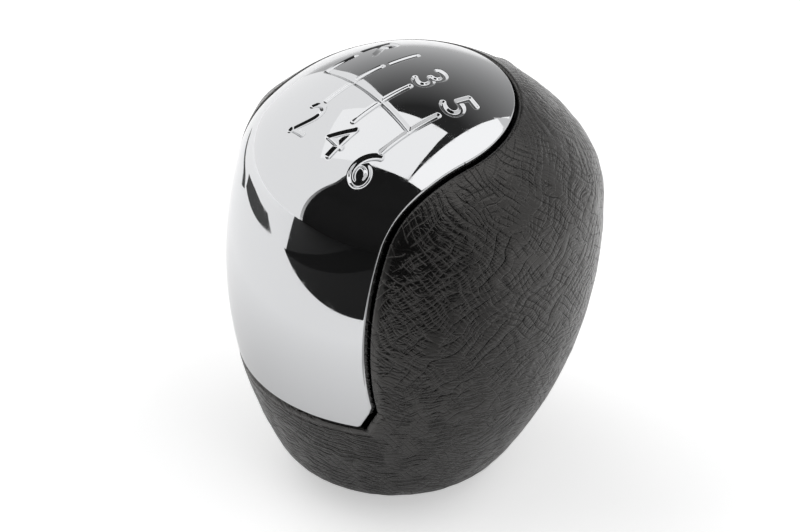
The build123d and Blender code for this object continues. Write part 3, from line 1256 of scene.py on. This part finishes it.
open_share = math_of(hide, "MULTIPLY", left_crease, right_crease)
# Painted highlight: near its edge, and only low on the panel, the lip is mixed towards the lighter grey.
lip_light_by_edge = ramp_of(hide, from_edge, lip_light_width, lip_light_full)
lip_light_by_height = ramp_of(hide, height_z, lip_light_below, lip_light_wholly)
painted_lip_light = math_of(hide, "MULTIPLY", lip_light_by_edge, lip_light_by_height)
hide_color = mixed(painted_lip_light, mixed(open_share, crease_shade_black, cushion_black), lip_highlight_grey)
roughness = ramp_of(hide, open_share, 0.0, 1.0, crease_roughness, cushion_roughness)
hide.links.new(hide_color, hide_shader.inputs["Base Color"])
hide.links.new(roughness, hide_shader.inputs["Roughness"])
hide_shader.inputs["Specular IOR Level"].default_value = leather_gloss
hide_shader.inputs["Specular Tint"].default_value = warm_shine
leather.data.materials.clear()
leather.data.materials.append(leather_finish)
print("leather finish of", len(hide.nodes), "nodes")

# %% [markdown]
# ### Plating
# Bright plating on a plastic moulding is a mirror with faint long waves, because the plastic under it
# shrinks a little as it sets. Handling leaves fine dust and wipe marks, which only show as a slightly
# duller gloss.

# %% Plated finish
wave_height = 0.012 * MM
wipe_from, wipe_to = 0.45, 0.75
clean_roughness, wiped_roughness = 0.025, 0.075
bright_plating = (0.6, 0.605, 0.615, 1)
plated, plate_tree, plate_shader, plate_place = new_finish("plated_trim")
waves = noise_of(plate_tree, plate_place, scale=0.11, detail=1.0).outputs["Fac"]
wave_values = {"Height": waves, "Strength": 1.0, "Distance": wave_height}
wave_bump = add_node(plate_tree, "ShaderNodeBump", wave_values)
wipes = noise_of(plate_tree, plate_place, scale=0.7, detail=6.0).outputs["Fac"]
gloss = ramp_of(plate_tree, wipes, wipe_from, wipe_to, clean_roughness, wiped_roughness)
plate_shader.inputs["Metallic"].default_value = 1
plate_shader.inputs["Base Color"].default_value = bright_plating
plate_tree.links.new(gloss, plate_shader.inputs["Roughness"])
plate_tree.links.new(wave_bump.outputs["Normal"], plate_shader.inputs["Normal"])
chrome_panel.data.materials.clear()
chrome_panel.data.materials.append(plated)
print("plated finish of", len(plate_tree.nodes), "nodes")

# %% [markdown]
# ### Hidden pieces
# The core shows only at the bottom of the groove, and the sleeve and the ring only from below. The core
# and the ring are moulded with a fine spark-eroded grain, so both use one grain, kept as a node group.
# The sleeve is turned, and the tool left fine rings round its axis.

# %% Moulded plastic and turned metal
mould_depth = 0.03 * MM
ring_depth = 0.01 * MM


def moulded_grain():
    """A node group: height and dullness of a fine mould grain, by place in millimetres and grain size."""
    group = bpy.data.node_groups.new("moulded_grain", "ShaderNodeTree")
    group.interface.new_socket("Place", in_out="INPUT", socket_type="NodeSocketVector")
    group.interface.new_socket("Size", in_out="INPUT", socket_type="NodeSocketFloat")
    group.interface.new_socket("Height", in_out="OUTPUT", socket_type="NodeSocketFloat")
    group.interface.new_socket("Dullness", in_out="OUTPUT", socket_type="NodeSocketFloat")
    inputs, outputs = group.nodes.new("NodeGroupInput"), group.nodes.new("NodeGroupOutput")
    scale = math_of(group, "DIVIDE", 1.0, inputs.outputs["Size"])
    height = noise_of(group, inputs.outputs["Place"], scale, detail=4.0).outputs["Fac"]
    group.links.new(height, outputs.inputs["Height"])
    dullness = ramp_of(group, height, 0.3, 0.7, to_low=0.5, to_high=0.68)
    group.links.new(dullness, outputs.inputs["Dullness"])
    return group


grain_group = moulded_grain()


def moulded_finish(name, color, grain_size):
    """A moulded plastic with the shared grain."""
    material, tree, shader, place = new_finish(name)
    grain = add_node(tree, "ShaderNodeGroup", node_tree=grain_group)
    grain.inputs["Size"].default_value = grain_size
    tree.links.new(place, grain.inputs["Place"])
    bump = add_node(tree, "ShaderNodeBump", {"Height": grain.outputs["Height"], "Distance": mould_depth})
    shader.inputs["Base Color"].default_value = (*color, 1)
    tree.links.new(grain.outputs["Dullness"], shader.inputs["Roughness"])
    tree.links.new(bump.outputs["Normal"], shader.inputs["Normal"])
    return material


def turned_finish(name, color):
    """Bright turned metal, with rings round the lever's axis."""
    material, tree, shader, place = new_finish(name)
    wave = {"Vector": place, "Scale": 1.6, "Distortion": 0.4}
    rings = add_node(tree, "ShaderNodeTexWave", wave, wave_type="RINGS", rings_direction="Z").outputs["Fac"]
    bump = add_node(tree, "ShaderNodeBump", {"Height": rings, "Distance": ring_depth})
    shader.inputs["Metallic"].default_value = 1
    shader.inputs["Base Color"].default_value = (*color, 1)
    tree.links.new(ramp_of(tree, rings, 0.0, 1.0, to_low=0.28, to_high=0.4), shader.inputs["Roughness"])
    tree.links.new(bump.outputs["Normal"], shader.inputs["Normal"])
    return material


hidden_finishes = {
    "core": moulded_finish("core_plastic", color=(0.022, 0.022, 0.022), grain_size=0.35),
    "base_ring": moulded_finish("ring_plastic", color=(0.02, 0.02, 0.021), grain_size=0.2),
    "lever_sleeve": turned_finish("sleeve_metal", color=(0.62, 0.62, 0.63)),
}
for name, finish in hidden_finishes.items():
    nodes[name].data.materials.clear()
    nodes[name].data.materials.append(finish)
print("hidden finishes:", ", ".join(hidden_finishes))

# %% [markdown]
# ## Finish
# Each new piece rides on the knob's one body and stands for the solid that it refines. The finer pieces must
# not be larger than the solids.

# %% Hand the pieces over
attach(chrome_panel, "root")
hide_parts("chrome_panel")
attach(leather, "root")
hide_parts("leather_cover")
